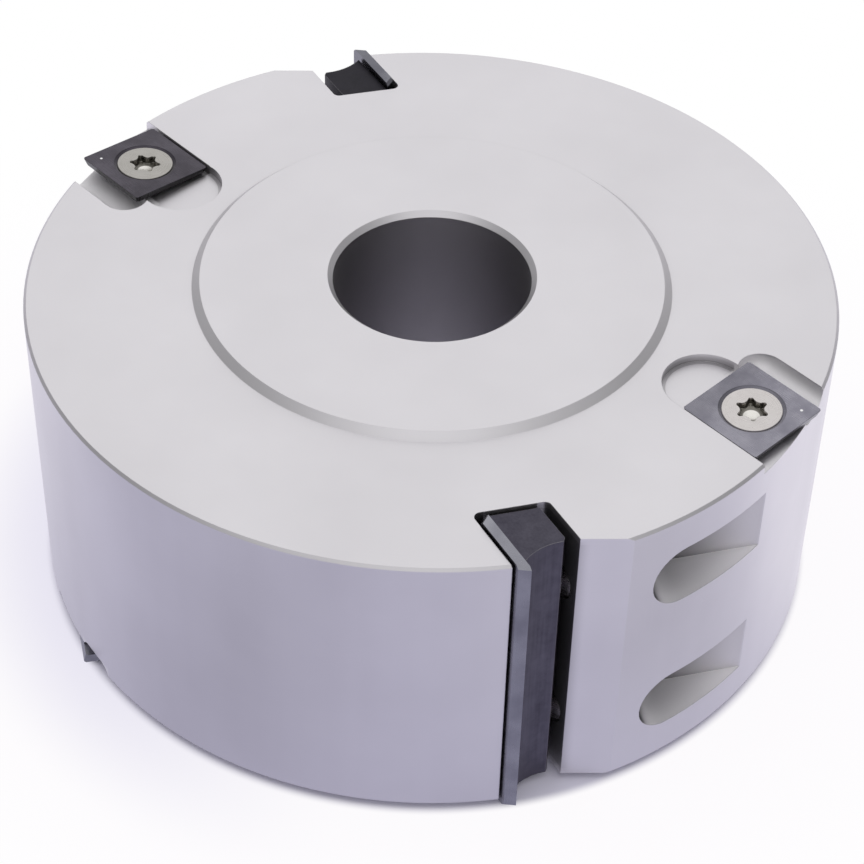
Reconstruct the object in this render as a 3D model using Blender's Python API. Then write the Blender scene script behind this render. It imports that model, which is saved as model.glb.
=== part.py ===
# Two-knife rebate cutter head for a spindle moulder, with four square spur knives.
# Metres, +Z up. The bore's axis is Z, and the head stands on its lower hub face at Z = 0.
# Seen from above it turns anticlockwise, so each knife's rake face looks that way.
from math import acos, atan2, cos, hypot, pi, radians, sin, sqrt, tan

import bmesh
import bpy
from mathutils import Matrix, Vector

# Fit left between neighbouring pieces
FIT = 0.0003

# Body
BODY_DIAMETER = 0.1224
BODY_WIDTH = 0.0490
RIM_CHAMFER = 0.0004
BORE_DIAMETER = 0.030
BORE_CHAMFER = 0.0008
HUB_DIAMETER = 0.070
HUB_RISE = 0.0011
HUB_SLOPE = 0.0012

# Turnover knives
KNIFE_COUNT = 2
FIRST_KNIFE_ANGLE = radians(-76.7)
KNIFE_PROJECTION = 0.0013
RAKE_ANGLE = radians(17)
KNIFE_LENGTH = 0.050
KNIFE_WIDTH = 0.012
KNIFE_THICKNESS = 0.0015
KNIFE_WEDGE_ANGLE = radians(55)
KNIFE_CORNER = 0.0005
PIN_DIAMETER = 0.0034
PIN_SPACING = 0.026
PIN_DEPTH = 0.004
PIN_SETBACK = 0.0002

# Gibs, each in front of its knife
GIB_END_SETBACK = 0.0004
GIB_THICKNESS = 0.0074
GIB_FRONT_DROP = 0.0023
GIB_BACK_DROP = 0.0031
GIB_HOLLOW = 0.0007
GIB_CORNER = 0.0005
GIB_FLOOR_CLEARANCE = 0.0006

# Knife slots
SLOT_SPARE_WIDTH = 0.0012
SLOT_FLOOR_CLEARANCE = 0.0008
SLOT_FILLET = 0.0010
FLAT_DROP = 0.0021
FLAT_TILT = radians(28)

# Clamp screws, which push each gib back against its knife
CLAMP_TILT = radians(15)
CLAMP_DROP = 0.0071
CLAMP_SPACING = 0.026
CLAMP_DIAMETER = 0.006
CLAMP_LENGTH = 0.012
CLAMP_POINT = 0.0015
CLAMP_SOCKET = 0.003
CLAMP_SOCKET_DEPTH = 0.0035
CLAMP_SETBACK = 0.0015
ACCESS_WIDTH = 0.0104
ACCESS_FLOOR = 0.0044

# Square spur knives
SPURS_PER_FACE = 2
SPUR_INSET = 0.0075
FIRST_SPUR_ANGLE = radians(-30.65)
BOTTOM_SPUR_OFFSET = radians(60)
SPUR_TURN = radians(-15.8)
SPUR_TILT = radians(3.2)
SPUR_SIDE = 0.014
SPUR_THICKNESS = 0.0012
SPUR_BEVEL_ANGLE = radians(18)
SPUR_CORNER = 0.0003
SPUR_STAND_OUT = 0.00015
SEAT_RECESS_RADIUS = 0.0065
SEAT_RECESS_OFFSET = 0.0011
GULLET_RADIUS = 0.0036
GULLET_CORNER = 0.0020
GULLET_DEPTH = 0.0021
GULLET_OFFSET = 0.0006
GULLET_START = 0.0022

# Countersunk spur screws
SPUR_SCREW_DIAMETER = 0.005
SPUR_SCREW_LENGTH = 0.010
SPUR_HEAD_DIAMETER = 0.0088
SPUR_HEAD_LAND = 0.0003
SPUR_HEAD_SETBACK = 0.0001
LOBE_COUNT = 6
LOBE_RADIUS = 0.0019
LOBE_WAVE = 0.0003
LOBE_SOCKET_DEPTH = 0.0020
SCREW_HOLE_SPARE = 0.001

# Worked out from the sizes above
BODY_RADIUS = BODY_DIAMETER / 2
MID_HEIGHT = HUB_RISE + BODY_WIDTH / 2
BEYOND = BODY_RADIUS / 2
CUTTING_RADIUS = BODY_RADIUS + KNIFE_PROJECTION
GIB_LENGTH = BODY_WIDTH - 2 * GIB_END_SETBACK
SLOT_WALL = GIB_THICKNESS + FIT + SLOT_SPARE_WIDTH

# Facets round one turn
BODY_FACETS = 172
HOLE_FACETS = 32
HEAD_FACETS = 48
CURVE_STEP = radians(15)


# Meshes

def lathe(profile, facets):
    """Closed ring or solid swept once round Z from a profile of (radius, height) points."""
    mesh = bmesh.new()
    turns = [2 * pi * step / facets for step in range(facets)]
    loops = []
    for radius, height in profile:
        if radius == 0:
            loops.append([mesh.verts.new((0, 0, height))] * facets)
        else:
            loops.append([mesh.verts.new((radius * cos(turn), radius * sin(turn), height)) for turn in turns])
    for k, loop in enumerate(loops):
        following = loops[(k + 1) % len(loops)]
        flat = loop[0].co.z == following[0].co.z
        span = facets // 4 if flat else 1
        for step in range(0, facets, span):
            steps = [(step + i) % facets for i in range(span + 1)]
            outline = [loop[i] for i in steps] + [following[i] for i in reversed(steps)]
            corners = list(dict.fromkeys(outline))
            if len(corners) > 2:
                mesh.faces.new(corners)
    bmesh.ops.recalc_face_normals(mesh, faces=mesh.faces)
    return mesh


def loft(outlines):
    """Closed solid through outlines with equal numbers of points, capped at both ends."""
    mesh = bmesh.new()
    loops = [[mesh.verts.new(point) for point in outline] for outline in outlines]
    count = len(loops[0])
    for lower, upper in zip(loops, loops[1:]):
        for k in range(count):
            mesh.faces.new((lower[k], lower[(k + 1) % count], upper[(k + 1) % count], upper[k]))
    mesh.faces.new(list(reversed(loops[0])))
    mesh.faces.new(loops[-1])
    bmesh.ops.recalc_face_normals(mesh, faces=mesh.faces)
    return mesh


def prism(outline, low, high):
    """Flat outline of (x, y) points carried from one height to another."""
    return loft([[(x, y, height) for x, y in outline] for height in (low, high)])


def circle(radius, facets, x=0.0, y=0.0):
    turns = [2 * pi * step / facets for step in range(facets)]
    return [(x + radius * cos(turn), y + radius * sin(turn)) for turn in turns]


def arc(start, end, sag):
    """Points from start to end on an arc that dips by sag to the right of the chord."""
    chord = hypot(end[0] - start[0], end[1] - start[1])
    radius = (chord * chord / 4 + sag * sag) / (2 * sag)
    half = acos(1 - sag / radius)
    across = atan2(end[1] - start[1], end[0] - start[0]) - pi / 2
    middle = ((start[0] + end[0]) / 2, (start[1] + end[1]) / 2)
    reach = radius - sag
    centre = (middle[0] - reach * cos(across), middle[1] - reach * sin(across))
    steps = max(4, round(2 * half / CURVE_STEP) * 2)
    turns = [across - half + 2 * half * step / steps for step in range(steps + 1)]
    return [(centre[0] + radius * cos(turn), centre[1] + radius * sin(turn)) for turn in turns]


def rounded(outline, radii):
    """Outline whose corners with a radius are replaced by arcs."""
    points = []
    count = len(outline)
    for k, radius in enumerate(radii):
        corner = Vector(outline[k])
        if radius == 0:
            points.append(tuple(corner))
            continue
        back = (Vector(outline[k - 1]) - corner).normalized()
        ahead = (Vector(outline[(k + 1) % count]) - corner).normalized()
        half = back.angle(ahead) / 2
        centre = corner + (back + ahead).normalized() * radius / sin(half)
        first = corner + back * radius / tan(half)
        last = corner + ahead * radius / tan(half)
        swing = (first - centre).angle_signed(last - centre)
        steps = max(2, round(abs(swing) / CURVE_STEP))
        for step in range(steps + 1):
            spoke = (first - centre).copy()
            spoke.rotate(Matrix.Rotation(-swing * step / steps, 2))
            points.append(tuple(centre + spoke))
    return points


def place(name, mesh, frame, smooth_angle=radians(30)):
    """Object made from a mesh that is drawn in a frame; a mirrored frame keeps its faces out."""
    location, rotation, scale = frame.decompose()
    if frame.determinant() < 0:
        turn = Matrix.Translation(location) @ rotation.to_matrix().to_4x4()
        mesh.transform(turn.inverted() @ frame)
        bmesh.ops.reverse_faces(mesh, faces=mesh.faces)
    data = bpy.data.meshes.new(name)
    mesh.to_mesh(data)
    mesh.free()
    data.shade_smooth()
    data.set_sharp_from_angle(angle=smooth_angle)
    placed = bpy.data.objects.new(name, data)
    placed.location = location
    placed.rotation_mode = "QUATERNION"
    placed.rotation_quaternion = rotation
    bpy.context.scene.collection.objects.link(placed)
    return placed


def cut(target, cutters):
    """Take each cutter's shape out of the target."""
    for cutter in cutters:
        cutter.hide_render = True
        cutter.display_type = "WIRE"
        taken = target.modifiers.new(cutter.name, "BOOLEAN")
        taken.operation = "DIFFERENCE"
        taken.solver = "EXACT"
        taken.object = cutter


def finish(name, colour, roughness, metallic):
    surface = bpy.data.materials.new(name)
    surface.use_nodes = True
    shader = surface.node_tree.nodes["Principled BSDF"]
    shader.inputs["Base Color"].default_value = (*colour, 1.0)
    shader.inputs["Roughness"].default_value = roughness
    shader.inputs["Metallic"].default_value = metallic
    return surface


# Frames

def knife_frame(index):
    """Origin on the cutting edge at mid height, X out along the rake face, Y forwards."""
    angle = FIRST_KNIFE_ANGLE + 2 * pi * index / KNIFE_COUNT
    edge = Matrix.Rotation(angle, 4, "Z") @ Matrix.Translation((CUTTING_RADIUS, 0, MID_HEIGHT))
    return edge @ Matrix.Rotation(RAKE_ANGLE, 4, "Z")


def clamp_frame(index, level):
    """Origin where a clamp screw meets the gib, X along the screw away from it, Z up."""
    height = CLAMP_SPACING * level
    meeting = Matrix.Translation((-CLAMP_DROP, GIB_THICKNESS + FIT, height))
    return knife_frame(index) @ meeting @ Matrix.Rotation(pi / 2 - CLAMP_TILT, 4, "Z")


def spur_frame(face, index, tilt):
    """Origin at a spur's centre on the body face, +X and +Y towards its two outer edges."""
    angle = FIRST_SPUR_ANGLE + 2 * pi * index / SPURS_PER_FACE
    if face == "bottom":
        angle += BOTTOM_SPUR_OFFSET
    seat = Matrix.Rotation(angle, 4, "Z") @ Matrix.Translation((BODY_RADIUS - SPUR_INSET, 0, BODY_WIDTH / 2))
    seat = seat @ Matrix.Rotation(SPUR_TURN, 4, "Z") @ Matrix.Rotation(tilt, 4, "X")
    if face == "bottom":
        seat = Matrix.Scale(-1, 4, (0, 0, 1)) @ seat
    return Matrix.Translation((0, 0, MID_HEIGHT)) @ seat


# Body

def turned_body():
    """Turned blank: bore, rim and a raised hub face on each side, all with broken edges."""
    bore = BORE_DIAMETER / 2
    hub = HUB_DIAMETER / 2
    low, high = HUB_RISE, HUB_RISE + BODY_WIDTH
    upper = [
        (bore, high + HUB_RISE - BORE_CHAMFER),
        (bore + BORE_CHAMFER, high + HUB_RISE),
        (hub, high + HUB_RISE),
        (hub + HUB_SLOPE, high),
        (BODY_RADIUS - RIM_CHAMFER, high),
        (BODY_RADIUS, high - RIM_CHAMFER),
    ]
    lower = [(radius, low + high - height) for radius, height in reversed(upper)]
    return place("cutter_body", lathe(upper + lower, BODY_FACETS), Matrix.Identity(4))


def slot_floor(forward):
    """Distance along the rake face to the slot's floor, which runs parallel to the clamp screws."""
    return forward * tan(CLAMP_TILT) - KNIFE_WIDTH - SLOT_FLOOR_CLEARANCE


def slot_cutters(index):
    """Slot for knife and gib, and the flat that clears the chips in front of it."""
    frame = knife_frame(index)
    back = -KNIFE_THICKNESS - FIT
    outline = [
        (BEYOND, back), (slot_floor(back), back), (slot_floor(SLOT_WALL), SLOT_WALL), (BEYOND, SLOT_WALL),
    ]
    outline = rounded(outline, (0, SLOT_FILLET, SLOT_FILLET, 0))
    slot = place(f"slot_{index + 1}", prism(outline, -BODY_WIDTH, BODY_WIDTH), frame)
    rise, run = sin(FLAT_TILT), cos(FLAT_TILT)
    inside = -SLOT_SPARE_WIDTH / 2
    flat = [
        (-FLAT_DROP + inside * rise, SLOT_WALL + inside * run),
        (-FLAT_DROP + BEYOND * rise, SLOT_WALL + BEYOND * run),
        (-FLAT_DROP + BEYOND * (rise + run), SLOT_WALL + BEYOND * (run - rise)),
        (-FLAT_DROP + inside * rise + BEYOND * run, SLOT_WALL + inside * run - BEYOND * rise),
    ]
    clearing = place(f"flat_{index + 1}", prism(flat, -BODY_WIDTH, BODY_WIDTH), frame)
    return [slot, clearing]


def pin_cutters(index):
    """Blind holes behind the knife for its locating pins."""
    holes = []
    for level in (-0.5, 0.5):
        depth = KNIFE_THICKNESS + FIT + PIN_DEPTH + FIT
        hole = prism(circle(PIN_DIAMETER / 2 + FIT, HOLE_FACETS), 0, depth)
        holes.append(place(f"pin_hole_{index + 1}", hole, pin_frame(index, level)))
    return holes


def pin_frame(index, level):
    """Origin on the rake face at a locating pin, Z straight back into the body."""
    centre = Matrix.Translation((-KNIFE_WIDTH / 2, 0, PIN_SPACING * level))
    return knife_frame(index) @ centre @ Matrix.Rotation(pi / 2, 4, "X")


def clamp_cutters(index):
    """Screw holes into the slot, each opened by a milled pocket that lets the key in."""
    cutters = []
    half = ACCESS_WIDTH / 2
    start = CLAMP_LENGTH + CLAMP_SETBACK
    for level in (-0.5, 0.5):
        frame = clamp_frame(index, level)
        along = frame @ Matrix.Rotation(pi / 2, 4, "Y")
        hole = prism(circle(CLAMP_DIAMETER / 2 + FIT, HOLE_FACETS), -GIB_THICKNESS / 2, start + half)
        cutters.append(place(f"screw_hole_{index + 1}", hole, along))
        ends = circle(half, HOLE_FACETS, start + half)
        nose = [point for point in ends if point[0] < start + half - FIT]
        pocket = [(BEYOND * 2, -half), (BEYOND * 2, half), (start + half, half), *nose, (start + half, -half)]
        outward = frame @ Matrix.Rotation(pi / 2, 4, "X")
        cutters.append(place(f"access_{index + 1}", prism(pocket, -ACCESS_FLOOR, BEYOND), outward))
    return cutters


def spur_cutters(face, index):
    """Seat with the milling cutter's round run-in, chip gullet and screw hole of one spur knife."""
    tilted = spur_frame(face, index, SPUR_TILT)
    level = spur_frame(face, index, 0)
    name = f"{face}_{index + 1}"
    near = -SPUR_SIDE / 2 - FIT
    floor = SPUR_STAND_OUT - SPUR_THICKNESS - FIT
    lead = SPUR_SIDE / 2 + GULLET_OFFSET
    seat = prism([(near, near), (BEYOND, near), (BEYOND, lead), (near, lead)], floor, BEYOND)
    run_in = circle(SEAT_RECESS_RADIUS, HEAD_FACETS, -SPUR_SIDE / 2 - SEAT_RECESS_OFFSET, near + SEAT_RECESS_RADIUS)
    start = Matrix.Translation((GULLET_START - SPUR_SIDE / 2, lead, 0))
    return [
        place(f"seat_{name}", seat, tilted),
        place(f"run_in_{name}", prism(run_in, floor, BEYOND), level),
        place(f"gullet_{name}", groove(GULLET_RADIUS, GULLET_CORNER, GULLET_DEPTH), level @ start),
        place(f"spur_hole_{name}", screw_clearance(SPUR_SCREW_LENGTH + SCREW_HOLE_SPARE), tilted),
    ]


def screw_clearance(depth):
    """Countersunk hole that clears a spur screw, from a depth to above its head."""
    hole = SPUR_SCREW_DIAMETER / 2 + FIT
    sink = SPUR_HEAD_DIAMETER / 2 + FIT * sqrt(2)
    rim = SPUR_STAND_OUT - SPUR_HEAD_SETBACK
    above = SPUR_STAND_OUT + SPUR_SCREW_DIAMETER
    profile = [(0, -depth), (hole, -depth), (hole, rim - (sink - hole)), (sink, rim), (sink, above), (0, above)]
    return lathe(profile, HEAD_FACETS)


def groove(radius, corner, depth):
    """Groove along +X below Z = 0, as left by an upright milling cutter with rounded corners."""
    half_turn = [-pi / 2 - 2 * pi * step / HOLE_FACETS for step in range(HOLE_FACETS // 2 + 1)]
    steps = round(pi / 2 / CURVE_STEP)
    section = []
    for step in range(steps + 1):
        turn = pi / 2 * step / steps
        section.append((radius - corner + corner * sin(turn), corner - depth - corner * cos(turn)))
    section.append((radius, BEYOND))
    outlines = []
    for reach, height in section:
        nose = [(reach * cos(turn), reach * sin(turn), height) for turn in half_turn]
        outlines.append([(BEYOND, -reach, height), *nose, (BEYOND, reach, height)])
    return loft(outlines)


# Knives, gibs and what holds them

def knife(index):
    """Turnover knife with a cutting edge on each long side, located on two pins."""
    relief = KNIFE_THICKNESS / tan(KNIFE_WEDGE_ANGLE)
    outlines = []
    for depth, inset in ((-KNIFE_THICKNESS, relief), (0, 0)):
        left, right = inset - KNIFE_WIDTH, -inset
        end, corner = KNIFE_LENGTH / 2, KNIFE_CORNER
        outlines.append([
            (left, depth, corner - end), (left + corner, depth, -end),
            (right - corner, depth, -end), (right, depth, corner - end),
            (right, depth, end - corner), (right - corner, depth, end),
            (left + corner, depth, end), (left, depth, end - corner),
        ])
    blade = place(f"knife_{index + 1}", loft(outlines), knife_frame(index))
    holes = []
    for level in (-0.5, 0.5):
        hole = prism(circle(PIN_DIAMETER / 2 + FIT, HOLE_FACETS), -KNIFE_THICKNESS, KNIFE_THICKNESS * 2)
        holes.append(place(f"knife_hole_{index + 1}", hole, pin_frame(index, level)))
    cut(blade, holes)
    return blade


def pin(index, level, name):
    """Locating pin pressed into the body, reaching almost through the knife."""
    bottom = KNIFE_THICKNESS + FIT + PIN_DEPTH
    return place(name, prism(circle(PIN_DIAMETER / 2, HOLE_FACETS), PIN_SETBACK, bottom), pin_frame(index, level))


def gib(index):
    """Clamping wedge with a hollow outer face that curls the chips off the knife."""
    front, back = FIT, GIB_THICKNESS
    hollow = arc((-GIB_BACK_DROP, back - GIB_CORNER), (-GIB_FRONT_DROP, front), GIB_HOLLOW)
    foot = GIB_FLOOR_CLEARANCE
    outline = [
        *reversed(hollow),
        (-GIB_BACK_DROP - GIB_CORNER, back),
        (slot_floor(back) + foot, back),
        (slot_floor(front) + foot, front),
    ]
    return place(f"gib_{index + 1}", prism(outline, -GIB_LENGTH / 2, GIB_LENGTH / 2), knife_frame(index))


def clamp_screw(index, level, name):
    """Set screw with a blunt cone point on the gib and a hexagon socket at the other end."""
    radius = CLAMP_DIAMETER / 2
    edge = CLAMP_POINT / 3
    profile = [
        (0, FIT * 2), (radius - CLAMP_POINT, FIT * 2), (radius, CLAMP_POINT + FIT * 2),
        (radius, CLAMP_LENGTH - edge), (radius - edge, CLAMP_LENGTH), (0, CLAMP_LENGTH),
    ]
    frame = clamp_frame(index, level) @ Matrix.Rotation(pi / 2, 4, "Y")
    screw = place(name, lathe(profile, HOLE_FACETS), frame)
    hexagon = circle(CLAMP_SOCKET / sqrt(3), 6)
    top = CLAMP_LENGTH + CLAMP_POINT
    socket = place(f"{name}_socket", prism(hexagon, CLAMP_LENGTH - CLAMP_SOCKET_DEPTH, top), frame)
    cut(screw, [socket])
    return screw


# Spur knives and their screws

def spur_knife(face, index, name):
    """Square turnover knife, bevelled all round and countersunk in the middle."""
    inset = SPUR_THICKNESS * tan(SPUR_BEVEL_ANGLE)
    outlines = []
    for height, half in ((SPUR_STAND_OUT - SPUR_THICKNESS, SPUR_SIDE / 2 - inset), (SPUR_STAND_OUT, SPUR_SIDE / 2)):
        near = half - SPUR_CORNER
        corners = [
            (half, near), (near, half), (-near, half), (-half, near),
            (-half, -near), (-near, -half), (near, -half), (half, -near),
        ]
        outlines.append([(x, y, height) for x, y in corners])
    frame = spur_frame(face, index, SPUR_TILT)
    blade = place(name, loft(outlines), frame)
    cut(blade, [place(f"{name}_hole", screw_clearance(SPUR_SCREW_LENGTH), frame)])
    return blade


def spur_screw(face, index, name):
    """Countersunk screw with a six-lobe socket."""
    head, shank = SPUR_HEAD_DIAMETER / 2, SPUR_SCREW_DIAMETER / 2
    top = SPUR_STAND_OUT - SPUR_HEAD_SETBACK
    cone = top - SPUR_HEAD_LAND - (head - shank)
    end = top - SPUR_SCREW_LENGTH
    tip = shank / 4
    profile = [
        (0, end), (shank - tip, end), (shank, end + tip), (shank, cone),
        (head, top - SPUR_HEAD_LAND), (head, top), (0, top),
    ]
    frame = spur_frame(face, index, SPUR_TILT)
    screw = place(name, lathe(profile, HEAD_FACETS), frame)
    lobes = []
    for step in range(HEAD_FACETS):
        turn = 2 * pi * (step + 0.5) / HEAD_FACETS
        radius = LOBE_RADIUS + LOBE_WAVE * cos(LOBE_COUNT * turn)
        lobes.append((radius * cos(turn), radius * sin(turn)))
    socket = prism(lobes, top - LOBE_SOCKET_DEPTH, top + LOBE_SOCKET_DEPTH)
    cut(screw, [place(f"{name}_socket", socket, frame)])
    return screw


# The head

def build():
    for old in list(bpy.data.objects):
        bpy.data.objects.remove(old, do_unlink=True)
    alloy = finish("satin_alloy", (0.62, 0.62, 0.64), 0.38, 1.0)
    carbide = finish("ground_carbide", (0.30, 0.30, 0.34), 0.30, 1.0)
    dark = finish("blackened_steel", (0.07, 0.065, 0.085), 0.45, 1.0)
    bright = finish("plated_steel", (0.60, 0.57, 0.53), 0.28, 1.0)

    body = turned_body()
    body.data.materials.append(alloy)
    for index in range(KNIFE_COUNT):
        cut(body, slot_cutters(index) + clamp_cutters(index) + pin_cutters(index))
        knife(index).data.materials.append(carbide)
        gib(index).data.materials.append(dark)
        for word, level in (("lower", -0.5), ("upper", 0.5)):
            pin(index, level, f"locating_pin_{index + 1}_{word}").data.materials.append(bright)
            clamp_screw(index, level, f"clamp_screw_{index + 1}_{word}").data.materials.append(bright)
    for face in ("top", "bottom"):
        for index in range(SPURS_PER_FACE):
            cut(body, spur_cutters(face, index))
            name = f"{face}_{index + 1}"
            spur_knife(face, index, f"spur_knife_{name}").data.materials.append(carbide)
            spur_screw(face, index, f"spur_screw_{name}").data.materials.append(bright)


build()
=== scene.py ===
# %% [markdown]
# # A rebate cutter head, dressed for the camera
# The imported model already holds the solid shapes: a turned light-alloy body with a
# 30 mm bore, two knives clamped by wedges called gibs, and four small square spur
# knives that score the edge of the cut. This script keeps those solids as a fixed
# frame, gives each its finish, and remakes the small bright pieces more finely.
# Loading comes first, because everything else is placed by what is loaded.

import bmesh
import bpy
import numpy as np
from mathutils import Matrix, Vector


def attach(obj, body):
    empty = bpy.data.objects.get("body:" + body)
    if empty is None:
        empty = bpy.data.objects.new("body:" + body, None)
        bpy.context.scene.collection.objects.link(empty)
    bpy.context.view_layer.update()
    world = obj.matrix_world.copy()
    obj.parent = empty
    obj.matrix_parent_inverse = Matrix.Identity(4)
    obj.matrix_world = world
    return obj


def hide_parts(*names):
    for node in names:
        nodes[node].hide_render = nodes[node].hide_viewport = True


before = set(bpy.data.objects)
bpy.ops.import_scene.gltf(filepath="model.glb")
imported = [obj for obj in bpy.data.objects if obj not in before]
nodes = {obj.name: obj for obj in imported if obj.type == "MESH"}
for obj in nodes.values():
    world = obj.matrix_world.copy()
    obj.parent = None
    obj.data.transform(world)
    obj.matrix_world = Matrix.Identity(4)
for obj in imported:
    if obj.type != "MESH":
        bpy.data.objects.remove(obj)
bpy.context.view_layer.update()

MM = 0.001
BODY_RADIUS = 61.2 * MM
BODY_WIDTH = 49.0 * MM
MID_HEIGHT = 25.6 * MM

# %% [markdown]
# ## Writing shader maths as Python
# A material is a graph of nodes. Wiring it by hand hides the idea behind it, so one
# small class wraps a socket and lets + - * ** and abs() build the Math nodes, and
# one method adds every other kind of node. A finish then reads like its formula.

# %% Sockets that can be added and multiplied
class Signal:
    """A node's output that takes part in sums: each operator adds one Math node."""

    def __init__(self, finish, socket):
        self.finish = finish
        self.socket = socket

    def other(self, name):
        """Another output of the same node."""
        return Signal(self.finish, self.socket.node.outputs[name])

    def maths(self, operation, *values):
        inputs = dict(enumerate(values))
        return self.finish.add("ShaderNodeMath", {"operation": operation}, inputs)

    def __add__(self, other):
        return self.maths("ADD", self, other)

    def __radd__(self, other):
        return self.maths("ADD", other, self)

    def __sub__(self, other):
        return self.maths("SUBTRACT", self, other)

    def __rsub__(self, other):
        return self.maths("SUBTRACT", other, self)

    def __mul__(self, other):
        return self.maths("MULTIPLY", self, other)

    def __rmul__(self, other):
        return self.maths("MULTIPLY", other, self)

    def __pow__(self, other):
        return self.maths("POWER", self, other)

    def __abs__(self):
        return self.maths("ABSOLUTE", self)

    def clipped(self):
        """The same signal, kept between 0 and 1."""
        return self.maths("MAXIMUM", self.maths("MINIMUM", self, 1.0), 0.0)

    def ease(self, low, high):
        """0 below low, 1 above high and a smooth slope between them."""
        inputs = {"Value": self, "From Min": low, "From Max": high}
        return self.finish.add("ShaderNodeMapRange", {"interpolation_type": "SMOOTHSTEP"}, inputs)


def distance_to(x, y, centre_x, centre_y):
    """Distance of the point (x, y) from a centre, as a signal."""
    return ((x - centre_x) ** 2.0 + (y - centre_y) ** 2.0) ** 0.5


# %% [markdown]
# A finish is a material or a world. Besides the general method it has a few short
# ones for what every finish needs: the place on the object, soft random patterns,
# blends of two colours, and the metal shader that ends each material.

# %% Finishes made of signals
SURFACE_UV = "surface"


def rgb(red, green, blue):
    """Linear colour with full alpha."""
    return (red, green, blue, 1.0)


class Finish:
    """One material or world, whose nodes are all added by add()."""

    def __init__(self, owner):
        owner.use_nodes = True
        self.owner = owner
        self.tree = owner.node_tree
        self.tree.nodes.clear()

    def add(self, kind, settings=None, inputs=None, output=0):
        """Add a node, set its settings, then give its sockets numbers, colours or links."""
        node = self.tree.nodes.new(kind)
        for name, value in (settings or {}).items():
            setattr(node, name, value)
        for name, value in (inputs or {}).items():
            socket = node.inputs[name]
            if isinstance(value, Signal):
                self.tree.links.new(value.socket, socket)
            else:
                socket.default_value = value
        return Signal(self, node.outputs[output]) if len(node.outputs) else node

    def point(self):
        """Place on the object in metres, as one vector."""
        return self.add("ShaderNodeTexCoord", output="Object")

    def facing(self):
        """Direction that the surface faces, as one vector."""
        return self.add("ShaderNodeTexCoord", output="Normal")

    def parts(self, vector):
        """The x, y and z of a vector as three signals."""
        split = self.add("ShaderNodeSeparateXYZ", inputs={"Vector": vector})
        return [split.other(axis) for axis in "XYZ"]

    def rotated(self, x, y, angle, other_angle=None, choice=None):
        """The x and y of a frame turned by an angle, or by the other angle where choice is 0."""
        c, s = np.cos(angle), np.sin(angle)
        if choice:
            c = choice * (c - np.cos(other_angle)) + np.cos(other_angle)
            s = choice * (s - np.sin(other_angle)) + np.sin(other_angle)
        return x * c + y * s, y * c - x * s

    def noise(self, where, size, detail=2.0, rough=0.5, kind="3D", stretch=None):
        """Soft random pattern from 0 to 1 whose blots are about size metres wide."""
        if stretch:
            where = self.add("ShaderNodeMapping", inputs={"Vector": where, "Scale": stretch})
        place = "W" if kind == "1D" else "Vector"
        inputs = {place: where, "Scale": 1.0 / size, "Detail": detail, "Roughness": rough}
        return self.add("ShaderNodeTexNoise", {"noise_dimensions": kind}, inputs)

    def blend(self, factor, first, second):
        """First colour where factor is 0, second where it is 1."""
        inputs = {"Factor": factor, 6: first, 7: second}
        return self.add("ShaderNodeMix", {"data_type": "RGBA"}, inputs, output=2)

    def darken(self, colour, share):
        """Take away a share of a colour: all of it where the share is 1."""
        return self.blend(share, colour, rgb(0.0, 0.0, 0.0))

    def metal(self, colour, rough, height, strength, depth=0.01 * MM, normal=None):
        """End the material as bare metal, whose fine relief follows the height signal."""
        relief = {"Strength": strength, "Distance": depth, "Height": height}
        if normal:
            relief["Normal"] = normal
        bump = self.add("ShaderNodeBump", inputs=relief)
        inputs = {"Base Color": colour, "Roughness": rough, "Metallic": 1.0, "Normal": bump}
        shader = self.add("ShaderNodeBsdfPrincipled", inputs=inputs)
        self.add("ShaderNodeOutputMaterial", inputs={"Surface": shader})
        return self.owner


# %% [markdown]
# ## Finding the milled hollows of the body
# A milled hollow is duller than the turned faces, and painted shade makes it darker. A formula of the place
# tells each kind of hollow. Turned to the direction of a clamp screw, a pocket is a box with a flat back.
# Turned to the direction of a spur knife, a chip gullet is a strip that runs out to the rim, and the run-in
# of the seat is a circle. Both come back half a turn further on, which is what the sign of a coordinate
# takes care of. The two faces' seats lie sixty degrees apart, so the turned frame itself changes at the
# middle of the height.

# %% Signals for pockets, gullets and run-ins
FACE_TURN = np.radians(60)
SPUR_PLACE_ANGLE, SPUR_TURN = np.radians(-30.65), np.radians(-15.8)
SEAT_ANGLE = SPUR_PLACE_ANGLE + SPUR_TURN
POCKET_ANGLE = np.radians(15.3)
POCKET_NOSE, POCKET_BACK, POCKET_HALF_HEIGHT = 16.7 * MM, 49.2 * MM, 5.2 * MM
SCREW_FROM_MIDDLE = 13 * MM
GULLET_START, GULLET_MIDDLE, GULLET_HALF_WIDTH = 43.0 * MM, 22.2 * MM, 3.7 * MM
RUN_IN_CENTRE = (43.57 * MM, 13.82 * MM)
RUN_IN_RADIUS = 5.9 * MM


def clamp_pockets(look, x, y, z, below_rim):
    """Three signals: inside a pocket, close to its flat back wall, and close to its round nose."""
    across, outward = look.rotated(x, y, POCKET_ANGLE)
    along_screw = -1.0 * across * outward.maths("SIGN", outward)
    beside_screw = abs(abs(z - MID_HEIGHT) - SCREW_FROM_MIDDLE)
    outward = abs(outward)
    inside = along_screw.ease(POCKET_NOSE, POCKET_NOSE + 0.1 * MM)
    inside = inside * (1.0 - beside_screw.ease(POCKET_HALF_HEIGHT, POCKET_HALF_HEIGHT + 0.1 * MM))
    inside = inside * outward.ease(POCKET_BACK - 0.3 * MM, POCKET_BACK - 0.1 * MM)
    inside = inside * below_rim.ease(0.02 * MM, 0.2 * MM)
    back = 1.0 - outward.ease(POCKET_BACK + 0.1 * MM, POCKET_BACK + 0.2 * MM)
    near_nose = 1.0 - along_screw.ease(POCKET_NOSE + 0.1 * MM, POCKET_NOSE + 6.3 * MM)
    return inside, back, near_nose


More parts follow.
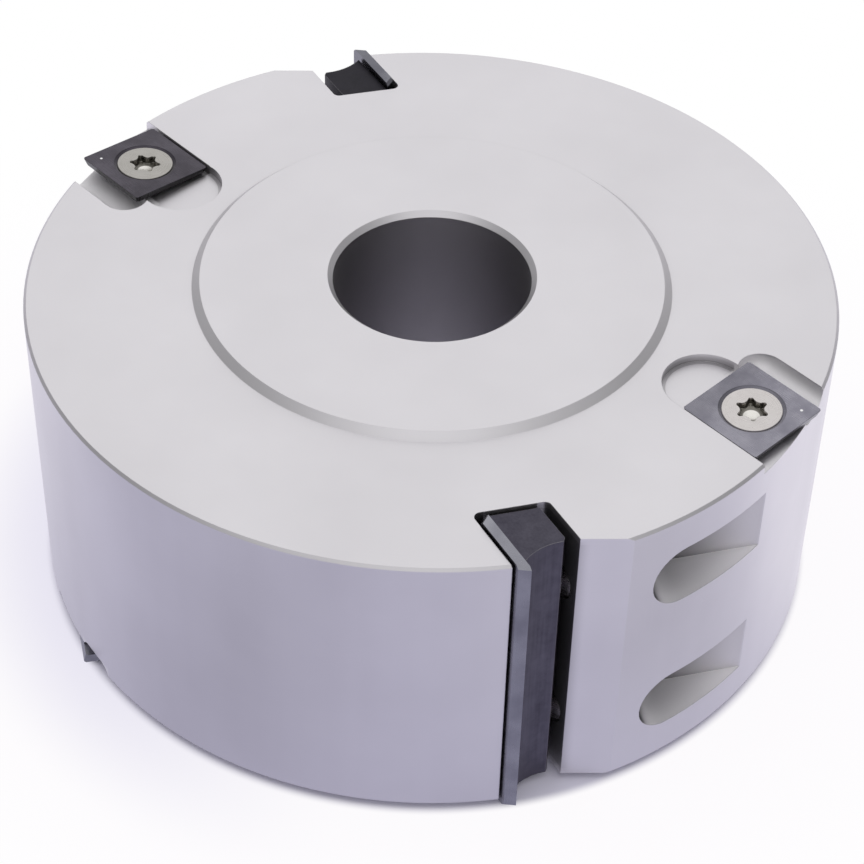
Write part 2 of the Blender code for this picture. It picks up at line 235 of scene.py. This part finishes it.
def spur_hollows(look, x, y, z, below_face):
    """Two signals: inside a chip gullet, and a band on the floor along a run-in's edge, which carries
    painted shade in place of a round corner.
    """
    top = z.ease(MID_HEIGHT, MID_HEIGHT + 1 * MM)
    u, v = look.rotated(x, y, SEAT_ANGLE, SEAT_ANGLE + FACE_TURN, top)
    v = v * u.maths("SIGN", u)
    u = abs(u)
    beside_gullet = abs(v - GULLET_MIDDLE)
    gullet = u.ease(GULLET_START, GULLET_START + 0.3 * MM)
    gullet = gullet * (1.0 - beside_gullet.ease(GULLET_HALF_WIDTH, GULLET_HALF_WIDTH + 0.2 * MM))
    gullet = gullet * below_face.ease(0.1 * MM, 0.4 * MM) * (1.0 - below_face.ease(2.12 * MM, 2.16 * MM))
    from_centre = distance_to(u, v, *RUN_IN_CENTRE)
    corner = from_centre.ease(RUN_IN_RADIUS - 0.10 * MM, RUN_IN_RADIUS + 0.02 * MM)
    corner = corner * (1.0 - from_centre.ease(RUN_IN_RADIUS + 0.06 * MM, RUN_IN_RADIUS + 0.25 * MM) * 0.45)
    corner = corner * below_face.ease(1.2 * MM, 1.3 * MM) * (1.0 - below_face.ease(1.37 * MM, 1.4 * MM))
    return gullet, corner * (1.0 - gullet)


# %% [markdown]
# ## The satin alloy of the body
# The body is turned from bar on a lathe and then lightly blasted, so it is a pale,
# almost even grey that shines softly. What keeps it from looking like plastic is
# small: fine rings left by the lathe on the flat faces, level lines on the rim, a
# grain from the blasting, and broken edges that catch the light. The rings are a
# noise of the distance from the axis, so they follow the way the part was cut. The
# broken edges come from a Bevel node, which rounds the shading across a sharp edge.
# Painted shade darkens the walls of hollows with their depth below the rim and the nearest face, and also
# darkens the chamfers, the sides and top of the bore, and a band along each run-in's edge. A painted sheen
# keeps the level floors of pockets, and the gullets, pale. An Ambient Occlusion node, which looks for other
# parts of the body close by, paints shade as a soft dark line in tight corners.

# %% Finish of the body
def satin_alloy():
    look = Finish(bpy.data.materials.new("satin_alloy_finish"))
    where = look.point()
    x, y, z = look.parts(where)
    radius = (x * x + y * y) ** 0.5
    below_rim = BODY_RADIUS - radius
    below_face = BODY_WIDTH / 2 - abs(z - MID_HEIGHT)
    steep = look.parts(look.facing())[2]
    level = abs(steep).ease(0.5, 0.8)
    wall = 1.0 - level
    slanted = abs(steep).ease(0.3, 0.5) * (1.0 - abs(steep).ease(0.85, 0.95))

    rings = look.noise(radius, 0.35 * MM, kind="1D") - 0.5
    lines = look.noise(z, 0.30 * MM, kind="1D") - 0.5
    lathe = rings * level + lines * wall
    clouds = look.noise(where, 22 * MM, detail=3.0) - 0.5
    grain = look.noise(where, 0.22 * MM, detail=1.0) - 0.5
    handled = look.noise(where, 7 * MM, detail=4.0, rough=0.65).ease(0.52, 0.78)
    upright = look.noise(where, 9 * MM, detail=2.0, stretch=(1.0, 1.0, 0.03)) - 0.5
    tone = 0.5 + clouds * 1.3 + upright * wall * 0.8 + lathe * 0.12 + grain * 0.10
    colour = look.blend(tone.clipped(), rgb(0.655, 0.638, 0.665), rgb(0.745, 0.728, 0.757))

    pocket, back, near_nose = clamp_pockets(look, x, y, z, below_rim)
    # Painted shade in the pockets: the back wall darker with depth, the other walls dark, and the floor
    # darker with depth and near the nose.
    back_shade = back * below_rim.ease(0.5 * MM, 9.5 * MM) * 0.86 + (1.0 - back) * 0.90
    floor_shade = below_rim.ease(1.0 * MM, 4.2 * MM) * 0.66 + near_nose * 0.12
    in_pocket = wall * back_shade + level * floor_shade

    gullet, corner = spur_hollows(look, x, y, z, below_face)
    # Painted shade on the walls of slots and other hollows, stronger with depth below the rim and the face.
    shallow = below_rim.ease(2.2 * MM, 3.2 * MM) * below_face.ease(0.1 * MM, 0.8 * MM)
    foot = below_face.ease(1.05 * MM, 1.25 * MM)
    deep = below_rim.ease(3 * MM, 8 * MM) * below_face.ease(3 * MM, 8 * MM)
    outside_bore = radius.ease(16 * MM, 20 * MM)
    hollow_wall_shade = outside_bore * wall * (shallow * (0.22 + foot * 0.20) + deep * 0.10)
    # Painted shade in the bore: darker at its left and right sides and towards its top.
    bore_shade = abs(x).ease(5 * MM, 14 * MM) * 0.24 + z.ease(20 * MM, 50 * MM) * 0.22
    # Painted shade on slanted chamfers, strongest near the rim.
    rim_edge = 1.0 - below_rim.ease(1 * MM, 2 * MM)
    chamfer_shade = slanted * (0.03 + rim_edge * 0.11)
    plain = (1.0 - pocket) * (1.0 - gullet)
    shade = plain * (hollow_wall_shade + chamfer_shade) + (1.0 - outside_bore) * wall * bore_shade
    # Painted shade in a band along each run-in's edge, in place of a round corner.
    shade = shade + pocket * in_pocket + corner * level * 0.28

    # Painted shade: where the Ambient Occlusion node finds the body close by, the colour is darkened.
    settings = {"only_local": True, "samples": 2}
    free = look.add("ShaderNodeAmbientOcclusion", settings, {"Distance": 1.2 * MM}, "AO")
    colour = look.darken(colour, (shade + (1.0 - free) * 0.25).clipped())
    # Painted sheen: the pockets' level floors and the gullets are blended towards pale grey.
    floor_sheen = pocket * steep.ease(0.6, 0.9) * 0.9 + gullet * 0.4
    colour = look.blend(floor_sheen, colour, rgb(0.96, 0.95, 0.96))
    rough = 0.40 + clouds * 0.06 + lathe * 0.05 - handled * 0.03 + pocket * 0.3 + gullet * 0.22
    edges = look.add("ShaderNodeBevel", {"samples": 6}, {"Radius": 0.15 * MM})
    return look.metal(colour, rough, lathe * 0.5 + grain * 0.8, 0.25, normal=edges)


# %% [markdown]
# ## Ground carbide of the knives
# The cutting pieces are pressed from tungsten carbide and ground flat. Grinding leaves straight, very fine
# lines, and the metal under them is a darker, bluer grey than steel. The lines are a noise stretched thirty
# times along one direction. A spur knife also has a small dimple painted pale as a glint, painted shade in
# the gap of its countersink round the screw head, and painted shade towards its inner side. These are
# placed on its own UV map, which holds the distance in metres from the knife's centre. Its bevels are
# darkened with painted shade, told by the direction that they face.

# %% Finish of the knives
def ground_carbide(name, dark, pale, stretch, dimple=None, bevel=0.0):
    """Ground lines along one direction; a spur knife is given its dimple's place and the strength of the
    painted shade on its bevels.
    """
    look = Finish(bpy.data.materials.new(name))
    where = look.add("ShaderNodeUVMap", {"uv_map": SURFACE_UV}) if dimple else look.point()
    streaks = look.noise(where, 0.25 * MM, detail=3.0, rough=0.6, stretch=stretch) - 0.5
    clouds = look.noise(look.point(), (3.5 if dimple else 6) * MM, detail=3.0) - 0.5
    colour = look.blend((0.5 + streaks * 0.20 + clouds * 1.7).clipped(), dark, pale)
    if dimple:
        steep = look.parts(look.facing())[2]
        # Painted shade on the bevels, by the share given.
        colour = look.darken(colour, (1.0 - abs(steep).ease(0.5, 0.9)) * bevel)
        across, along, _ = look.parts(where)
        # Painted shade towards the knife's inner side.
        colour = look.darken(colour, (1.0 - across.ease(-6.5 * MM, 1 * MM)) * 0.22)
        # Painted shade in the gap of the countersink round the screw head.
        countersink = 1.0 - distance_to(across, along, 0.0, 0.0).ease(4.80 * MM, 4.92 * MM)
        colour = look.darken(colour, countersink * 0.25)
        # Painted glint: the dimple is pale grey.
        clear_of_dimple = distance_to(across, along, *dimple).ease(0.16 * MM, 0.26 * MM)
        colour = look.blend(clear_of_dimple, rgb(0.85, 0.85, 0.85), colour)
    return look.metal(colour, 0.27 + streaks * 0.06 + clouds * 0.08, streaks, 0.12)


# %% [markdown]
# ## Blackened steel of the gibs
# The gibs are hardened steel with a black oxide skin over milled faces. Oil sits in the skin unevenly, so
# it is mottled and a little violet. Faces that look up are darkened with painted shade. The edges are
# paler, partly where the skin wears off and partly as a painted highlight. A Bevel node turns the normal
# only near an edge, so the place where it no longer agrees with the plain normal is where the paler steel
# shows.

# %% Finish of the gibs
def blackened_steel(name, dark, pale):
    look = Finish(bpy.data.materials.new(name))
    where = look.point()
    milled = look.noise(where, 0.4 * MM, detail=2.0, stretch=(1.0, 1.0, 0.04)) - 0.5
    mottle = look.noise(where, 2.6 * MM, detail=5.0, rough=0.6) - 0.5
    colour = look.blend((0.45 + mottle * 1.1 + milled * 0.5).clipped(), dark, pale)
    flat = look.facing()
    # Painted shade: faces that look up are darker.
    colour = look.darken(colour, look.parts(flat)[2].ease(0.5, 0.9) * 0.22)
    edges = look.add("ShaderNodeBevel", {"samples": 6}, {"Radius": 0.20 * MM})
    agreement = look.add("ShaderNodeVectorMath", {"operation": "DOT_PRODUCT"}, {0: edges, 1: flat}, "Value")
    # Pale edges: partly bare steel where the skin wears off, partly a painted highlight.
    wear_and_highlight = (1.0 - agreement).ease(0.01, 0.10) * 0.6
    colour = look.blend(wear_and_highlight, colour, rgb(0.34, 0.33, 0.35))
    rough = 0.38 + mottle * 0.25 + milled * 0.08
    return look.metal(colour, rough, milled + mottle * 0.5, 0.25, 0.02 * MM, edges)


# %% [markdown]
# ## Plated steel of the screws and pins
# Screw heads come off an automatic lathe and are nickel plated. The plating is warmer than the alloy around
# it, and the head keeps the rings of the lathe, which follow the head's own radius, so they are drawn on
# its own UV map. The same map counts the distance along the screw's outline from the middle of its socket,
# so it also tells the drilled cone, painted pale as a glint, and the pressed wall, painted dark as shade,
# from the head.

# %% Finish of the screws
def plated_steel(name, uv=None, dark=rgb(0.53, 0.50, 0.49), pale=rgb(0.68, 0.65, 0.64)):
    """Lathe rings along the outline of a screw that has a UV map, or along the height of a pin."""
    look = Finish(bpy.data.materials.new(name))
    where = look.point()
    along = look.parts(look.add("ShaderNodeUVMap", {"uv_map": uv}))[1] if uv else look.parts(where)[2]
    rings = look.noise(along, 0.22 * MM, kind="1D") - 0.5
    clouds = look.noise(where, 1.5 * MM, detail=3.0) - 0.5
    colour = look.blend((0.5 + rings * 0.5 + clouds * 0.7).clipped(), dark, pale)
    rough = 0.28 + rings * 0.12 + clouds * 0.10
    if uv:
        drilled = 1.0 - along.ease(1.25 * MM, 1.40 * MM)
        pressed = (1.0 - drilled) * (1.0 - along.ease(2.75 * MM, 3.15 * MM))
        # Painted glint on the drilled cone.
        colour = look.blend(drilled, colour, rgb(0.80, 0.78, 0.74))
        # Painted shade on the socket's pressed wall.
        colour = look.blend(pressed, colour, rgb(0.20, 0.19, 0.17))
        rough = rough - drilled * 0.06
    return look.metal(colour, rough, rings, 0.3)


# %% [markdown]
# ## Smooth shading for the solids
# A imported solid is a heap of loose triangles, so light breaks at each of them and a
# round hollow looks faceted. A copy whose triangles are joined at their corners can
# be shaded smoothly. An edge stays sharp where its two faces meet at more than 25
# degrees, and where a leaning seat meets level metal at its own small angle. The
# solid itself is left as it is.

# %% Joined copies with their finishes
SHARP_ANGLE = np.radians(25)
LEAN_ANGLES = np.radians((2.6, 4.5))
SOLID_WELD = 0.001 * MM


def put_in_scene(name, data):
    """New object at the origin, in the scene's own collection."""
    piece = bpy.data.objects.new(name, data)
    bpy.context.scene.collection.objects.link(piece)
    return piece


def smooth_copy(name, material):
    """Stand-in for a solid: the same faces, joined at their corners and shaded smoothly."""
    work = bmesh.new()
    work.from_mesh(nodes[name].data)
    bmesh.ops.remove_doubles(work, verts=work.verts, dist=SOLID_WELD)
    work.verts.index_update()
    corners = [tuple(vertex.co) for vertex in work.verts]
    faces = [[vertex.index for vertex in face.verts] for face in work.faces]
    work.free()
    mesh = bpy.data.meshes.new(f"smooth_{name}")
    mesh.from_pydata(corners, [], faces)
    joined = bmesh.new()
    joined.from_mesh(mesh)
    for face in joined.faces:
        face.smooth = True
    for edge in joined.edges:
        angle = edge.calc_face_angle(np.pi)
        edge.smooth = angle < LEAN_ANGLES[0] or LEAN_ANGLES[1] < angle < SHARP_ANGLE
    joined.to_mesh(mesh)
    joined.free()
    mesh.materials.append(material)
    piece = put_in_scene(f"smooth_{name}", mesh)
    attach(piece, "root")
    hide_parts(name)
    print(piece.name, len(mesh.polygons), "faces")


alloy = satin_alloy()
ALONG_EDGE = (1.0, 1.0, 0.03)
# The second knife and the second gib get much darker tones than the first, as painted shade.
looks = {
    "knife_1": ground_carbide("knife_carbide_1", rgb(0.20, 0.20, 0.235), rgb(0.36, 0.36, 0.40), ALONG_EDGE),
    "knife_2": ground_carbide("knife_carbide_2_shaded", rgb(0.12, 0.12, 0.145), rgb(0.22, 0.22, 0.25), ALONG_EDGE),
    "gib_1": blackened_steel("blackened_1", rgb(0.050, 0.046, 0.064), rgb(0.145, 0.138, 0.176)),
    "gib_2": blackened_steel("blackened_2_shaded", rgb(0.016, 0.015, 0.020), rgb(0.045, 0.042, 0.054)),
}
plated = plated_steel("plated_steel_finish")
for name in nodes:
    if name == "cutter_body":
        smooth_copy(name, alloy)
    elif name.startswith("gib"):
        smooth_copy(name, looks[name])
    elif name.startswith("knife"):
        smooth_copy(name, looks[name])
    elif name.startswith(("locating_pin", "clamp_screw")):
        smooth_copy(name, plated)

# %% [markdown]
# ## Surfaces from grids of points
# A piece that is swept or turned is a grid: one direction runs round it and the
# other runs along its outline. The whole grid is worked out as one array, and a
# second array lists its four-sided faces, so no loop visits the points one by one.

# %% Mesh from a grid
GRID_WELD = 0.0001 * MM


def grid_object(name, points, uv, frame_of_piece, material, sharp_degrees=25):
    """Object from points[row, column], closed round the columns and at its first and last rows.

    A row whose points coincide is a pole. Points are in the piece's own frame and are
    put in place by a 4 x 4 matrix; a matrix that mirrors them also turns the faces."""
    rows, columns = points.shape[:2]
    index = np.arange(rows * columns).reshape(rows, columns)
    ahead = np.roll(index, -1, axis=1)
    quads = np.stack([index[:-1], ahead[:-1], ahead[1:], index[1:]], axis=-1).reshape(-1, 4)
    if np.linalg.det(frame_of_piece[:3, :3]) < 0:
        quads = quads[:, ::-1]
    flat = points.reshape(-1, 3) @ frame_of_piece[:3, :3].T + frame_of_piece[:3, 3]
    mesh = bpy.data.meshes.new(name)
    mesh.from_pydata(flat.tolist(), [], quads.tolist())
    layer = mesh.uv_layers.new(name=SURFACE_UV)
    layer.data.foreach_set("uv", uv.reshape(-1, 2)[quads.ravel()].astype(np.float32).ravel())
    work = bmesh.new()
    work.from_mesh(mesh)
    bmesh.ops.remove_doubles(work, verts=work.verts, dist=GRID_WELD)
    bmesh.ops.recalc_face_normals(work, faces=work.faces)
    work.to_mesh(mesh)
    work.free()
    mesh.shade_smooth()
    mesh.set_sharp_from_angle(angle=np.radians(sharp_degrees))
    mesh.materials.append(material)
    piece = put_in_scene(name, mesh)
    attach(piece, "root")
    print(name, len(mesh.polygons), "faces")
    return piece


def turn_z(angle):
    """4 x 4 matrix that turns about Z."""
    c, s = np.cos(angle), np.sin(angle)
    return np.array([[c, -s, 0, 0], [s, c, 0, 0], [0, 0, 1, 0], [0, 0, 0, 1.0]])


def turn_x(angle):
    """4 x 4 matrix that turns about X."""
    c, s = np.cos(angle), np.sin(angle)
    return np.array([[1, 0, 0, 0], [0, c, -s, 0], [0, s, c, 0], [0, 0, 0, 1.0]])


def shift(x, y, z):
    """4 x 4 matrix that moves."""
    moved = np.eye(4)
    moved[:3, 3] = (x, y, z)
    return moved


# %% [markdown]
# ## Where the spur knives sit
# Each face of the body carries two spur knives, half a turn apart, and the two
# faces' pairs are sixty degrees apart. A seat leans by three degrees, so that only
# the leading edge of its knife scores the wood. Both the knife and its screw
# are drawn in the seat's own frame: the origin at the knife's centre, X and Y
# towards its two outer edges.

# %% Frames of the four seats
SPUR_INSET = 7.5 * MM
SPUR_TILT = np.radians(3.2)
SPUR_STAND_OUT = 0.15 * MM


def seat_frame(face, index):
    """4 x 4 matrix from a seat's own frame to the object's; a seat of the lower face is mirrored."""
    angle = SPUR_PLACE_ANGLE + index * np.pi + (FACE_TURN if face == "bottom" else 0)
    seat = turn_z(angle) @ shift(BODY_RADIUS - SPUR_INSET, 0, BODY_WIDTH / 2)
    seat = seat @ turn_z(SPUR_TURN) @ turn_x(SPUR_TILT)
    if face == "bottom":
        seat = np.diag([1.0, 1.0, -1.0, 1.0]) @ seat
    return shift(0, 0, MID_HEIGHT) @ seat


seats = {(face, index): seat_frame(face, index) for face in ("top", "bottom") for index in (0, 1)}
print("seat centres in mm:", {key: np.round(m[:3, 3] / MM, 1).tolist() for key, m in seats.items()})

# %% [markdown]
# ## The spur screws
# A countersunk screw is a profile turned round its axis, except for its six-lobed
# socket, where the radius swings in and out six times a turn. Both fit one grid:
# each row has a depth, a mean radius and a share of the swing. The star's outline
# is made of arcs: narrow lobes and wide valleys that run into each other smoothly.
# The grid starts at the tip of the drill cone inside the socket, climbs its wall,
# crosses the head, goes over the rounded rim and down the cone to the shank's end.

# %% Screw with a six-lobed socket
HEAD_RADIUS = 4.4 * MM
HEAD_SUNK = 0.1 * MM
RIM_ROUND = 0.14 * MM
SOCKET_ROWS = MM * np.array([
    (1.85, 0.00, 0.00),
    (1.40, 1.25, 0.00),
    (1.24, 1.70, 0.00),
    (1.20, 1.92, 0.32),
    (1.14, 2.00, 0.35),
    (0.14, 2.03, 0.35),
    (0.06, 2.06, 0.35),
    (0.01, 2.12, 0.34),
    (0.00, 2.19, 0.32),
    (0.00, 2.75, 0.00),
    (0.00, 3.40, 0.00),
])
SHANK_ROWS = MM * np.array([
    (0.30, 4.4, 0.0),
    (2.20, 2.5, 0.0),
    (9.60, 2.5, 0.0),
    (10.0, 2.0, 0.0),
    (10.0, 0.0, 0.0),
])


def lobed_star(turn, valley=0.72, lobe_round=0.17):
    """Outline of round lobes and wide round valleys, scaled to swing from -1 to 1.

    The lobe tips are 1 from the middle and the valleys 0.72. A lobe is an arc of radius
    0.17; the valley arc's radius is the one at which both arcs touch and share a tangent."""
    c, cos30 = 1 - lobe_round, np.cos(np.pi / 6)
    hollow = c**2 + valley**2 - 2 * c * valley * cos30 - lobe_round**2
    hollow = hollow / (2 * (lobe_round - valley + c * cos30))
    reach = valley + hollow
    share = lobe_round / (lobe_round + hollow)
    touch = np.arctan2(reach * 0.5 * share, c + (reach * cos30 - c) * share)
    near_lobe = np.abs((turn + np.pi / 6) % (np.pi / 3) - np.pi / 6)
    lobe = c * np.cos(near_lobe) + np.sqrt(np.maximum(lobe_round**2 - (c * np.sin(near_lobe)) ** 2, 0))
    off = np.pi / 6 - near_lobe
    dip = reach * np.cos(off) - np.sqrt(np.maximum(hollow**2 - (reach * np.sin(off)) ** 2, 0))
    outline = np.where(near_lobe < touch, lobe, dip)
    return (outline - (1 + valley) / 2) / ((1 - valley) / 2)


def screw_points(columns=180):
    """Rows of (depth, radius, swing), each swept as radius(turn) = radius + swing * star(turn)."""
    rim = np.radians(np.linspace(0, 90, 6))
    rim_rows = (RIM_ROUND * (1 - np.cos(rim)), HEAD_RADIUS - RIM_ROUND * (1 - np.sin(rim)), 0 * rim)
    rows = np.concatenate([SOCKET_ROWS, np.column_stack(rim_rows), SHANK_ROWS])
    depth, radius, swing = rows.T
    turn = np.linspace(0, 2 * np.pi, columns, endpoint=False)
    reach = radius[:, None] + swing[:, None] * lobed_star(turn)
    height = np.broadcast_to(SPUR_STAND_OUT - HEAD_SUNK - depth[:, None], reach.shape)
    points = np.stack([reach * np.cos(turn), reach * np.sin(turn), height], -1)
    along = np.concatenate([[0], np.cumsum(np.hypot(np.diff(depth), np.diff(radius)))])
    uv = np.stack(np.broadcast_arrays(turn / (2 * np.pi), along[:, None]), -1)
    return points, uv


# The second screw of each face gets darker tones, as painted shade.
lit_head = plated_steel("plated_head_lit", SURFACE_UV)
shaded_head = plated_steel("plated_head_shaded", SURFACE_UV, rgb(0.34, 0.325, 0.305), rgb(0.47, 0.455, 0.43))
screw_grid, screw_uv = screw_points()
SCREW_TURNS = {("top", 0): 16.5, ("top", 1): 43, ("bottom", 0): 41, ("bottom", 1): 3}
for (face, index), seat in seats.items():
    node = f"spur_screw_{face}_{index + 1}"
    spun = seat @ turn_z(np.radians(SCREW_TURNS[face, index]))
    head_finish = shaded_head if index else lit_head
    piece = grid_object(f"fine_{node}", screw_grid, screw_uv, spun, head_finish)
    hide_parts(node)

# %% [markdown]
# ## The spur knives
# A spur knife is a 14 mm square plate, 1.2 mm thick, with all four sides ground
# back by eighteen degrees so that each top edge cuts. Its hole is countersunk for
# the screw. One grid wraps the plate like a ring: its columns run round the square,
# with extra points at the clipped corners, and its rows run from the hole across the
# top, over the edge, down the bevel, across the underside and up the hole again.

# %% Square plate with a countersunk hole
PLATE_HALF, PLATE_THICK = 7.0 * MM, 1.2 * MM
BEVEL_ANGLE = np.radians(18)
CLIPPED_CORNER, HONED_EDGE = 0.3 * MM, 0.035 * MM
SINK_RADIUS, HOLE_RADIUS = HEAD_RADIUS + 0.42 * MM, 2.8 * MM


def square_outline(half, corner=CLIPPED_CORNER, per_side=10):
    """Points round a square with clipped corners, evenly spread on each straight."""
    share = np.linspace(0, 1, per_side + 1)[:, None]
    first, last = np.array([half, corner - half]), np.array([half, half - corner])
    side = first + (last - first) * share
    quarter = np.array([[0, 1], [-1, 0]])
    return np.concatenate([side @ np.linalg.matrix_power(quarter, k) for k in range(4)])


def plate_points():
    """Rows of (outline, height), from the countersink's circle out to the square and back to it."""
    top = SPUR_STAND_OUT
    base = top - PLATE_THICK
    outer = square_outline(PLATE_HALF)
    honed = square_outline(PLATE_HALF - HONED_EDGE)
    inner = square_outline(PLATE_HALF - PLATE_THICK * np.tan(BEVEL_ANGLE))
    turn = np.arctan2(outer[:, 1], outer[:, 0])
    circle = np.stack([np.cos(turn), np.sin(turn)], -1)
    rows = [
        (circle * (SINK_RADIUS + 0.06 * MM), top),
        ((circle * SINK_RADIUS + honed) / 2, top),
        (honed, top),
        (outer, top - HONED_EDGE),
        (inner, base),
        (circle * (HOLE_RADIUS + 0.1 * MM), base),
        (circle * HOLE_RADIUS, base + 0.10 * MM),
        (circle * HOLE_RADIUS, base + 0.12 * MM),
        (circle * SINK_RADIUS, top - 0.06 * MM),
    ]
    rows.append(rows[0])
    points = np.stack([np.column_stack([line, np.full(len(line), height)]) for line, height in rows])
    return points, points[..., :2].copy()


plate_grid, plate_uv = plate_points()
ACROSS_PLATE = (0.03, 1.0, 1.0)
DIMPLE = (5.1 * MM, 4.8 * MM)
# Each seat's knife gets its own tones as painted shade, the upper face's second knife darkest; the third
# number is the share of painted shade on its bevels.
PLATE_TONES_AND_SHADE = {
    ("top", 0): (rgb(0.19, 0.185, 0.225), rgb(0.36, 0.35, 0.40), 0.6),
    ("top", 1): (rgb(0.050, 0.045, 0.056), rgb(0.118, 0.108, 0.130), 0.80),
    ("bottom", 0): (rgb(0.10, 0.10, 0.12), rgb(0.22, 0.22, 0.25), 0.0),
    ("bottom", 1): (rgb(0.22, 0.22, 0.25), rgb(0.38, 0.38, 0.41), 0.0),
}
for (face, index), seat in seats.items():
    node = f"spur_knife_{face}_{index + 1}"
    dark, pale, bevel = PLATE_TONES_AND_SHADE[face, index]
    carbide = ground_carbide(f"plate_carbide_{face}_{index + 1}", dark, pale, ACROSS_PLATE, DIMPLE, bevel)
    piece = grid_object(f"fine_{node}", plate_grid, plate_uv, seat, carbide, sharp_degrees=15)
    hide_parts(node)

# %% [markdown]
# ## Floor and tent
# The head stands on a white sheet in a bright tent. The floor answers each kind of ray in its own way. To
# the camera it is mixed with plain white, which keeps the shadow but makes it faint, and a painted violet
# shadow lies on it to the left of the head. To the mirror-like metal it shows the tones of the tent: bright
# behind and on the right, darker in front, with two dark spots that give the rim its soft bands; under the
# bore it glows faintly as painted light on the bore's wall. All other light meets paper that is painted
# darker and violet close to the head, as painted shadow.

# %% Floor and world
FLOOR_RADIUS, FLOOR_HEIGHT, FLOOR_SIDES = 3.0, -0.2 * MM, 64


def white_floor():
    look = Finish(bpy.data.materials.new("white_floor"))
    ray = look.add("ShaderNodeLightPath")
    camera = ray.other("Is Camera Ray")
    mirrored = ray.other("Is Glossy Ray") + ray.other("Is Transmission Ray")
    x, y, _ = look.parts(look.point())
    radius = distance_to(x, y, 0.0, 0.0)
    away = radius.ease(62 * MM, 130 * MM)
    # Painted shadow: the paper is darker and violet close to the head.
    paper = look.blend(away, rgb(0.72, 0.70, 0.82), rgb(0.90, 0.89, 0.93))
    lit = look.add("ShaderNodeBsdfDiffuse", inputs={"Color": paper})

    bright = y.ease(-60 * MM, 30 * MM) * 0.75 + x.ease(0, 80 * MM) * 0.35
    bright = bright + x.ease(50 * MM, 75 * MM) * y.ease(-40 * MM, -5 * MM) * 0.35
    left_spot = 1.0 - distance_to(x, y, -50 * MM, -75 * MM).ease(0.0, 48 * MM)
    right_spot = 1.0 - distance_to(x, y, 76 * MM, -70 * MM).ease(0.0, 50 * MM)
    mirror_tone = look.blend(bright, rgb(0.56, 0.55, 0.69), rgb(1.10, 1.08, 1.16))
    mirror_tone = look.darken(mirror_tone, left_spot * 0.25 + right_spot * 0.34)

    # Painted shadow: to the camera, the sheet left of the head is violet.
    painted_shadow_halo = (1.0 - radius.ease(60 * MM, 80 * MM)) * (1.0 - x.ease(-58 * MM, -8 * MM))
    camera_tone = look.blend(away, rgb(1.0, 0.985, 1.0), rgb(1.0, 1.0, 1.0))
    camera_tone = look.blend(painted_shadow_halo, camera_tone, rgb(0.82, 0.80, 0.90))
    glow = look.blend(camera, mirror_tone, camera_tone)
    white = look.add("ShaderNodeEmission", inputs={"Color": glow, "Strength": 1.0})

    clear_of_body = radius.ease(60.2 * MM, 62.2 * MM)
    shaded = (1.0 - away) * 0.05
    # Painted light: under the bore the sheet glows faintly to mirrored rays, brightening the bore's wall.
    under_bore = (1.0 - radius.ease(12 * MM, 15 * MM)) * 0.16
    share = clear_of_body * (camera * (1.0 - shaded) + mirrored * 0.85) + under_bore * mirrored
    mixed = look.add("ShaderNodeMixShader", inputs={0: share, 1: lit, 2: white})
    look.add("ShaderNodeOutputMaterial", inputs={"Surface": mixed})
    return look.owner


turn = np.linspace(0, 2 * np.pi, FLOOR_SIDES, endpoint=False)
edge = [FLOOR_RADIUS * np.cos(turn), FLOOR_RADIUS * np.sin(turn), np.full(FLOOR_SIDES, FLOOR_HEIGHT)]
floor_mesh = bpy.data.meshes.new("floor")
floor_mesh.from_pydata(np.stack(edge, -1).tolist(), [], [list(range(FLOOR_SIDES))])
floor_mesh.materials.append(white_floor())
floor = put_in_scene("floor", floor_mesh)

world = bpy.data.worlds.new("tent")
bpy.context.scene.world = world
sky = Finish(world)
ray = sky.add("ShaderNodeLightPath")
mirrored = (ray.other("Is Glossy Ray") + ray.other("Is Transmission Ray")).clipped()
direction = sky.add("ShaderNodeTexCoord", output="Generated")
sideways = abs(sky.parts(direction)[0]).ease(0.2, 0.9)
strength = 0.92 + ray.other("Is Camera Ray") * 0.08 + mirrored * (0.08 - sideways * 0.60)
tent = sky.add("ShaderNodeBackground", inputs={"Color": rgb(1.0, 1.0, 1.0), "Strength": strength})
sky.add("ShaderNodeOutputWorld", inputs={"Surface": tent})
print("floor of radius", FLOOR_RADIUS, "m in a white tent")

# %% [markdown]
# ## The lamp
# One broad square lamp hangs almost straight above and gives the shadow on the
# sheet. The metal doesn't mirror it, or else the flat face would be lost in white
# when it is seen from above.

# %% Lamp
LAMP_PLACE, LAMP_TARGET = Vector((0.1, -0.1, 1.3)), Vector((0.0, 0.0, 0.03))
key_light = bpy.data.lights.new("key", "AREA")
key_light.shape = "SQUARE"
key_light.size = 1.0
key_light.energy = 2.4
key = put_in_scene("key", key_light)
key.location = LAMP_PLACE
key.rotation_mode = "QUATERNION"
key.rotation_quaternion = (LAMP_PLACE - LAMP_TARGET).to_track_quat("Z", "Y")
key.visible_glossy = False
print("lamp of", key_light.energy, "W")

# %% [markdown]
# ## The camera
# The camera stands where the photographer's did: above the front of the head and
# looking down at it by 42.5 degrees, with the slight roll of a hand-held picture.

# %% Camera
DIP, ROLL = np.radians(42.494), np.radians(1.577)
CAMERA_PLACE = np.array([0.602, -291.07, 285.58]) * MM
right = np.array([np.cos(ROLL), np.sin(DIP) * np.sin(ROLL), np.cos(DIP) * np.sin(ROLL)])
up = np.array([-np.sin(ROLL), np.sin(DIP) * np.cos(ROLL), np.cos(DIP) * np.cos(ROLL)])
back = np.cross(right, up)
camera_data = bpy.data.cameras.new("camera")
camera_data.sensor_width = 36.0
camera_data.lens = 103.165
camera_data.clip_start, camera_data.clip_end = 0.01, 20.0
camera = put_in_scene("camera", camera_data)
pose = np.eye(4)
pose[:3] = np.column_stack([right, up, back, CAMERA_PLACE])
camera.matrix_world = Matrix(pose.tolist())
bpy.context.scene.camera = camera
bpy.context.scene.view_settings.view_transform = "Standard"
print("camera looks along", np.round(-back, 3))
